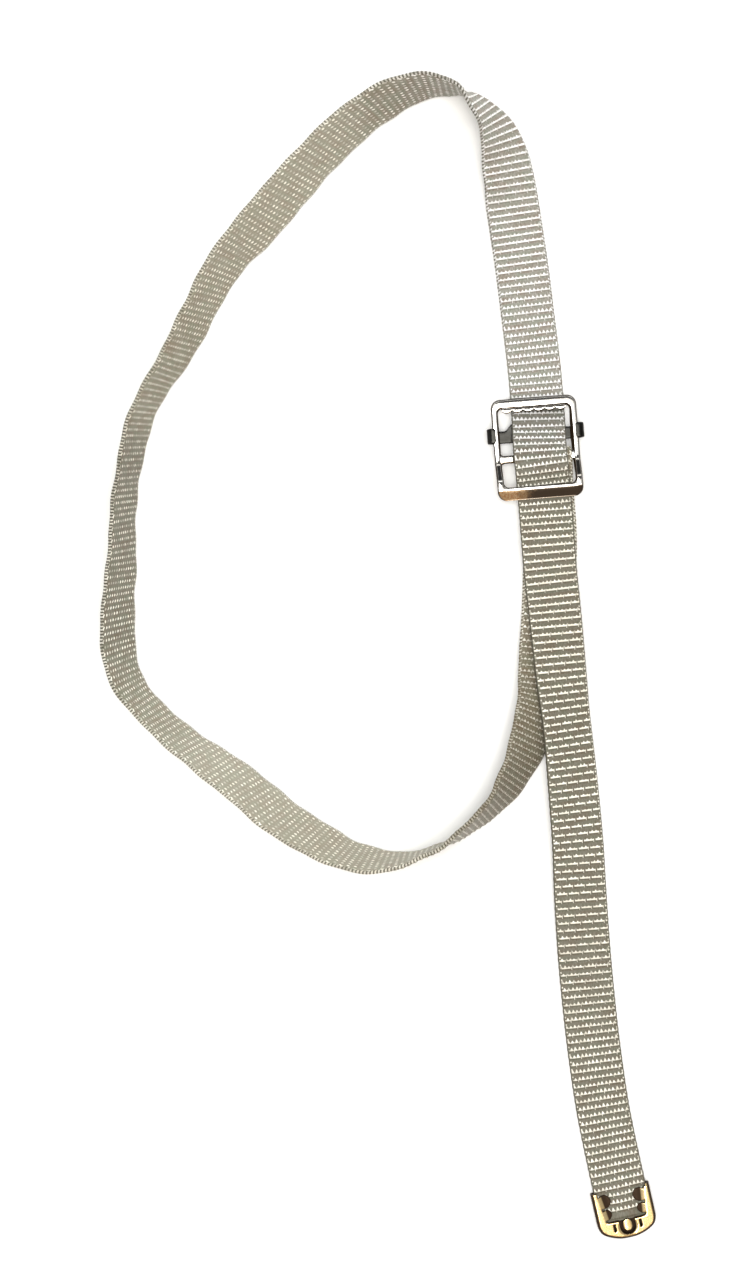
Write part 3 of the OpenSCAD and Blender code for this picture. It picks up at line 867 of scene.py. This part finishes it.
def claw_height(x, y):
    """The front sheet is level, with a lip round the notch and claws bent into the webbing."""
    ax = np.abs(x)
    bend = smooth(mouth_side(y) + 0.15 - ax, -0.35, 2.2) * smooth(y, 4.3, 5.0)
    from_notch = np.minimum(np.abs(np.hypot(x, y - NOTCH_Y) - NOTCH_R), 1.0)
    lip = 0.16 * smooth(1.0 - from_notch, 0.3, 1.0)
    return TIP_H - 0.004 - 0.58 * bend - lip * (y < MOUTH_Y)


def rim_line(count):
    """Points of the tip's outline from its right end, round the bottom, to its left end."""
    end = math.atan2(TIP_L - RIM_Y, TIP_HALF_W)
    angle = np.linspace(end, -math.pi - end, count)
    r = np.full(count, 5.0)
    for _ in range(60):
        r = r - 0.8 * tip_outline(r * np.cos(angle), RIM_Y + r * np.sin(angle))
    return np.column_stack([r * np.cos(angle), RIM_Y + r * np.sin(angle)])


def tip_rim():
    """The sheet's rolled edge, from the front sheet round to the back sheet."""
    line = rim_line(121)
    t = unit(np.gradient(line, axis=0))
    inward = np.column_stack([t[:, 1], -t[:, 0]])
    r = RIM_R
    outer = [(RIM_REACH, TIP_H)]
    for a in range(0, 91, 9):
        b = math.radians(a)
        outer.append((r * (1 - math.sin(b)), TIP_H - r * (1 - math.cos(b))))
    for a in range(0, 91, 9):
        b = math.radians(a)
        outer.append((r * (1 - math.cos(b)), r * (1 - math.sin(b))))
    outer.append((RIM_REACH, 0))
    inner = [(RIM_REACH, TIP_T), (r, TIP_T), (TIP_T, r), (TIP_T, TIP_H - r),
             (r, TIP_H - TIP_T), (RIM_REACH, TIP_H - TIP_T)]
    section = np.array(outer + inner)
    rings = np.zeros((len(line), len(section), 3))
    rings[..., :2] = line[:, None] + inward[:, None] * section[None, :, :1]
    rings[..., 2] = section[None, :, 1]
    return loft(rings)


tip_parts = [
    tip_rim(),
    plate(front_sheet, TIP_BOX, 0.12, claw_height, TIP_T),
    plate(back_sheet, TIP_BOX, 0.3, lambda x, y: np.full_like(x, TIP_T), TIP_T - 0.004),
    plate(tongue_shape, (-1.3, 1.3, 1.8, 4.9), 0.08,
          lambda x, y: 2.26 - 0.10 * x * x, 1.8),
]
tip_points, tip_faces = joined(tip_parts)
crimped_tip = make_object("crimped_tip", from_tip(tip_points), tip_faces, tip_metal)
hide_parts("strap_tip")

# ---------------------------------------------------------------- centreline points at the exits, not used further

exit_low = route_place(np.array([s_at(17.4)]))[0][0] * MM + BUCKLE
exit_top = route_place(np.array([s_top_bar]))[0][0] * MM + BUCKLE
path_of(route_place, s_bottom_bar, 0)
path_of(route_place, s_top_bar, s_join)

# ---------------------------------------------------------------- buckle frame

FRAME_W, FRAME_L, FRAME_T, FRAME_Z = 20.3, 24.2, 1.2, 2.6
RAIL_W, TOP_BAR_L, BOTTOM_BAR_L, RISE = 1.65, 2.2, 3.1, 2.0
WINDOW_TOP, WINDOW_BOTTOM = FRAME_L / 2 - TOP_BAR_L, -FRAME_L / 2 + BOTTOM_BAR_L
CRANK_TOP, CRANK_BOTTOM = -3.3, -7.4


def crank(y):
    """Rise of the frame's sheet at y, with small fillets at both bends."""
    def rise(d):
        return (np.sqrt(d * d + 0.7) + d) / 2
    return RISE / (CRANK_TOP - CRANK_BOTTOM) * (rise(CRANK_TOP - y) - rise(CRANK_BOTTOM - y))


def ring_outline(half_w, y0, y1, r, rail=72, bar=40, corner=14):
    """A rectangle with round corners, from the right rail's top end round by the bottom."""
    def arc(cx, cy, a0):
        a = np.radians(a0 - 90 * (np.arange(corner) + 0.5) / corner)
        return np.column_stack([cx + r * np.cos(a), cy + r * np.sin(a)])

    def run(a, b, n):
        return np.linspace(a, b, n)
    return np.vstack([
        run((half_w, y1 - r), (half_w, y0 + r), rail), arc(half_w - r, y0 + r, 0),
        run((half_w - r, y0), (-half_w + r, y0), bar), arc(-half_w + r, y0 + r, -90),
        run((-half_w, y0 + r), (-half_w, y1 - r), rail), arc(-half_w + r, y1 - r, 180),
        run((-half_w + r, y1), (half_w - r, y1), bar), arc(half_w - r, y1 - r, 90)])


def frame_ring():
    """The stamping's outer ring: rails, top bar and bottom bar, cranked between the two."""
    outer = ring_outline(FRAME_W / 2, -FRAME_L / 2, FRAME_L / 2, 2.2)
    inner = ring_outline(FRAME_W / 2 - RAIL_W, WINDOW_BOTTOM, WINDOW_TOP, 1.2)
    middle, gap = (outer + inner) / 2, outer - inner
    half = np.linalg.norm(gap, axis=1) / 2
    way = unit(gap)
    rings = []
    for c, h, w in zip(middle, half, way):
        sec = round_section(h, FRAME_T / 2, 0.36 + 0.22 * (2 * w[0] * w[1]) ** 2,
                            0.01 + 0.04 * w[1] ** 2, 5, 8)
        # The rails' inner walls spread towards the bottom, the right one more.
        lower, rise = (0.0, 0.42) if w[0] > 0 else (0.15, 0.25)
        spread = w[0] ** 2 * (lower + rise * sec[:, 1] / (FRAME_T / 2))
        sec[:, 0] += spread * np.clip(-sec[:, 0] / h, 0, 1)
        xy = c + w * sec[:, :1]
        # The bottom bar thins towards its outer edge.
        thin = 1 - 0.42 * np.clip(-xy[:, 1] - 9.6, 0, 2.3) / FRAME_T
        z = FRAME_Z + (sec[:, 1] + FRAME_T / 2) * thin + crank(xy[:, 1])
        rings.append(np.column_stack([xy, z]))
    return loft(np.array(rings), closed=True)


def toothed_flange():
    """Six scalloped teeth that lean down from the top bar's inner edge."""
    teeth, pitch, reach, lean, thick = 6, 2.57, 0.95, math.radians(8), 0.5
    x = np.linspace(-teeth * pitch / 2, teeth * pitch / 2, teeth * 16 + 1)
    part = (x / pitch + teeth / 2) % 1
    part[-1] = 1
    length = reach * (0.12 + 0.88 * np.clip(1 - (2 * part - 1) ** 2, 0, 1) ** 0.85)
    groove = 0.30
    rings = []
    for cx, size in zip(x, length):
        steps = [(0.3, thick * 0.5), (0, thick * 0.3), (-0.12, thick * 0.25), (-0.22, thick * 0.5),
                 (-groove, thick * 0.9), (-groove - 0.08, thick),
                 (-groove - size * 0.6, thick + 0.02), (-groove - size * 0.9, thick),
                 (-groove - size, thick * 0.8),
                 (-groove - size - 0.03, thick * 0.5), (-groove - size, thick * 0.15),
                 (-groove - size * 0.9, 0), (0, 0), (0.3, 0)]
        rings.append([(cx, y * math.cos(lean) - z * math.sin(lean),
                       y * math.sin(lean) + z * math.cos(lean)) for y, z in steps])
    rings = np.array(rings)[::-1] + [0, WINDOW_TOP + 0.1, FRAME_Z + FRAME_T - thick - 0.12]
    return loft(rings)


def middle_bar():
    """The bar the anchor fold goes round, flared where it meets the rails."""
    half_w, length, y = 8.75, 1.9, -2.2
    x = np.linspace(-half_w, half_w, 60)
    sec = round_section(length / 2, FRAME_T / 2, 0.56, 0.0, 8, 4)
    rings = np.zeros((len(x), len(sec), 3))
    flare = 1 + 0.35 * smooth(np.abs(x), 7.9, half_w)
    rings[..., 0] = x[:, None]
    rings[..., 1] = y + sec[None, :, 0] * flare[:, None]
    rings[..., 2] = FRAME_Z + FRAME_T / 2 + sec[None, :, 1]
    return loft(rings)


frame_points, frame_faces = joined([frame_ring(), toothed_flange(), middle_bar()])
plated_frame = make_object("plated_frame", frame_points * MM + BUCKLE, frame_faces, buckle_metal)
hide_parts("buckle_frame")

# ---------------------------------------------------------------- grip bar

GRIP_Y, EAR_L, GRIP_T = 3.55, 3.5, 0.75
GRIP_LOW, GRIP_HIGH, GRIP_HALF_W = 1.75, 4.7, 11.5


def grip_path():
    """Centreline of the sheet in [x, z], from the left lip, under the frame, to the right."""
    z0, z1, r = GRIP_LOW + GRIP_T / 2, GRIP_HIGH - GRIP_T / 2, 0.9
    turn_x = GRIP_HALF_W - GRIP_T / 2 - r
    half = [(x, z0) for x in np.linspace(0.2, turn_x, 44)]
    half += [(turn_x + r * math.sin(a), z0 + r - r * math.cos(a))
             for a in np.linspace(0.15, math.pi / 2, 9)]
    half += [(turn_x + r * math.cos(a), z1 - r + r * math.sin(a))
             for a in np.linspace(0.0, math.pi / 2, 9)]
    half += [(x, z1) for x in np.linspace(turn_x - 0.2, 9.5, 6)]
    return np.array([(-x, z) for x, z in half[::-1]] + half)


def curled_bar():
    """The sheet along grip_path, with ears as wide as EAR_L and a stepped back edge below."""
    path = grip_path()
    run = np.concatenate([[0], np.cumsum(np.linalg.norm(np.diff(path, axis=0), axis=1))])
    total = run[-1]
    t = unit(np.gradient(path, axis=0))
    up = np.column_stack([-t[:, 1], t[:, 0]])
    ax = np.abs(path[:, 0])
    low_bar = path[:, 1] < GRIP_LOW + GRIP_T
    back = GRIP_Y + EAR_L / 2 - 0.6 * low_bar * (1 - smooth(ax, 9.2, 10.2))
    back = np.maximum(back, 6.3 - 1.6 * smooth(ax, 5.3, 7.2) - 0.6 * smooth(ax, 7.2, 9)
                      - 10 * (1 - low_bar))
    front = np.full(len(ax), GRIP_Y - EAR_L / 2)
    end = np.minimum(run, total - run)
    r = 0.55
    corner = r - np.sqrt(np.clip(r**2 - np.clip(r - end, 0, r) ** 2, 0, None))
    front, back = front + corner, back - corner
    rings = []
    for p, n, y0, y1 in zip(path, up, front, back):
        sec = round_section((y1 - y0) / 2, GRIP_T / 2, 0.24, 0.0, 4, 6)
        rings.append(np.column_stack([p[0] + n[0] * sec[:, 1], (y0 + y1) / 2 + sec[:, 0],
                                      p[1] + n[1] * sec[:, 1]]))
    return loft(np.array(rings))


grip_points, grip_faces = curled_bar()
curled_grip = make_object("curled_grip", grip_points * MM + BUCKLE, grip_faces, grip_metal,
                          body="grip_bar")
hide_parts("grip_bar")

# ---------------------------------------------------------------- anchor stitches

STITCH_ROWS, STITCH_PITCH, STITCHES, THREAD_R = (-15.5, -19.5), 2.0, 4, 0.17


def thread_run(y, z, bow):
    """One row of thread that dips into the webbing at each needle hole."""
    x = np.linspace(-STITCHES * STITCH_PITCH / 2 - 0.2, STITCHES * STITCH_PITCH / 2 + 0.2, 97)
    hole = np.abs(np.sin(np.pi * x / STITCH_PITCH))
    lift = bow * (smooth(hole, 0.05, 0.75) * 0.34 - 0.30)
    wander = 0.05 * np.sin(x * 1.7)
    centreline = np.column_stack([fold_x + x, np.full(len(x), y) + wander, z + lift])
    t = unit(np.gradient(centreline, axis=0))
    side = unit(np.cross(t, [0, 0, 1]))
    top = np.cross(side, t)
    a = np.radians(np.arange(0, 360, 30))
    turn = x[:, None] * 5.0 + a
    r = THREAD_R * (1 + 0.12 * np.cos(2 * turn))
    rings = centreline[:, None] + side[:, None] * (r * np.cos(a))[..., None] \
        + top[:, None] * (r * np.sin(a))[..., None]
    return loft(rings)


stitch_points, stitch_faces = joined(
    [thread_run(y, z, bow) for y in STITCH_ROWS for z, bow in ((2.62, 1), (0.24, -1))])
lock_stitches = make_object("lock_stitches", stitch_points * MM + BUCKLE, stitch_faces, thread)
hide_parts("anchor_stitching")

# ---------------------------------------------------------------- floor and light

floor_mesh = bpy.data.meshes.new("floor")
floor_mesh.from_pydata([(-3, -3, 0), (3, -3, 0), (3, 3, 0), (-3, 3, 0)], [], [(0, 1, 2, 3)])
floor = bpy.data.objects.new("floor", floor_mesh)
scene.collection.objects.link(floor)
pale = Shader("pale_floor", Base_Color=(0.93, 0.93, 0.92, 1), Roughness=0.9,
              Specular_IOR_Level=0.1)
floor_mesh.materials.append(pale.material)


def softbox(name, place, aim, size, power, colour):
    """A rectangular light that faces aim."""
    light = bpy.data.lights.new(name, "AREA")
    light.shape = "RECTANGLE"
    light.size, light.size_y = size
    light.energy = power
    light.color = colour
    obj = bpy.data.objects.new(name, light)
    obj.location = place
    way = Vector(aim) - Vector(place)
    obj.rotation_euler = way.to_track_quat("-Z", "Y").to_euler()
    scene.collection.objects.link(obj)
    return obj


softbox("key_light", (-0.06, -0.06, 0.97), (-0.03, -0.02, 0), (0.62, 0.62), 8.5, (1.0, 1.0, 0.99))
softbox("fill_light", (0.14, -0.42, 0.80), (0.05, -0.1, 0), (0.45, 0.28), 0.20, (1.0, 0.91, 0.76))
low_light = softbox("low_light", (0.45, 0.75, 0.42), (-0.02, -0.06, 0), (0.30, 0.22), 3.6,
                    (1.0, 1.0, 0.98))
low_light.visible_glossy = False

world = bpy.data.worlds.new("studio")
scene.world = world
world.use_nodes = True
tree = world.node_tree
parts = tree.nodes.new("ShaderNodeSeparateXYZ")
tree.links.new(tree.nodes.new("ShaderNodeTexCoord").outputs["Generated"], parts.inputs[0])
wx, wy, wz = (Value(tree, s) for s in parts.outputs)
# A pale dome with dark flags before and behind, and a strip light in the flag behind.
overhead = (wz * 0.98 + wy * 0.18 - wx * 0.06).ramp(0.84, 0.96)
lane = 1 - wx.abs().ramp(0.40, 0.60)
behind = wy.ramp(0.19, 0.23) * (1 - wy.ramp(0.975, 0.995)) * lane
strip = wy.ramp(0.45, 0.49) * (1 - wy.ramp(0.57, 0.61)) * lane
before = (wy * -1).ramp(0.44, 0.54) * (1 - (wy * -1).ramp(0.90, 0.97)) * lane
warm = (wy * -1).ramp(0.22, 0.40) * lane
dimmed = (1 - behind * 0.95) * (1 - before * 0.45) * (1 - wx.ramp(0.1, 0.8) * 0.45)
combine = tree.nodes.new("ShaderNodeCombineColor")
for place, (dome, over, glow) in zip(
        combine.inputs, ((0.58, 0.54, 0.12), (0.58, 0.54, -0.06), (0.58, 0.53, -0.20))):
    feed(tree, place, (overhead * over + warm * glow + dome) * dimmed + strip * 1.4)
tree.links.new(combine.outputs[0], tree.nodes["Background"].inputs["Color"])
scene.view_settings.view_transform = "Standard"
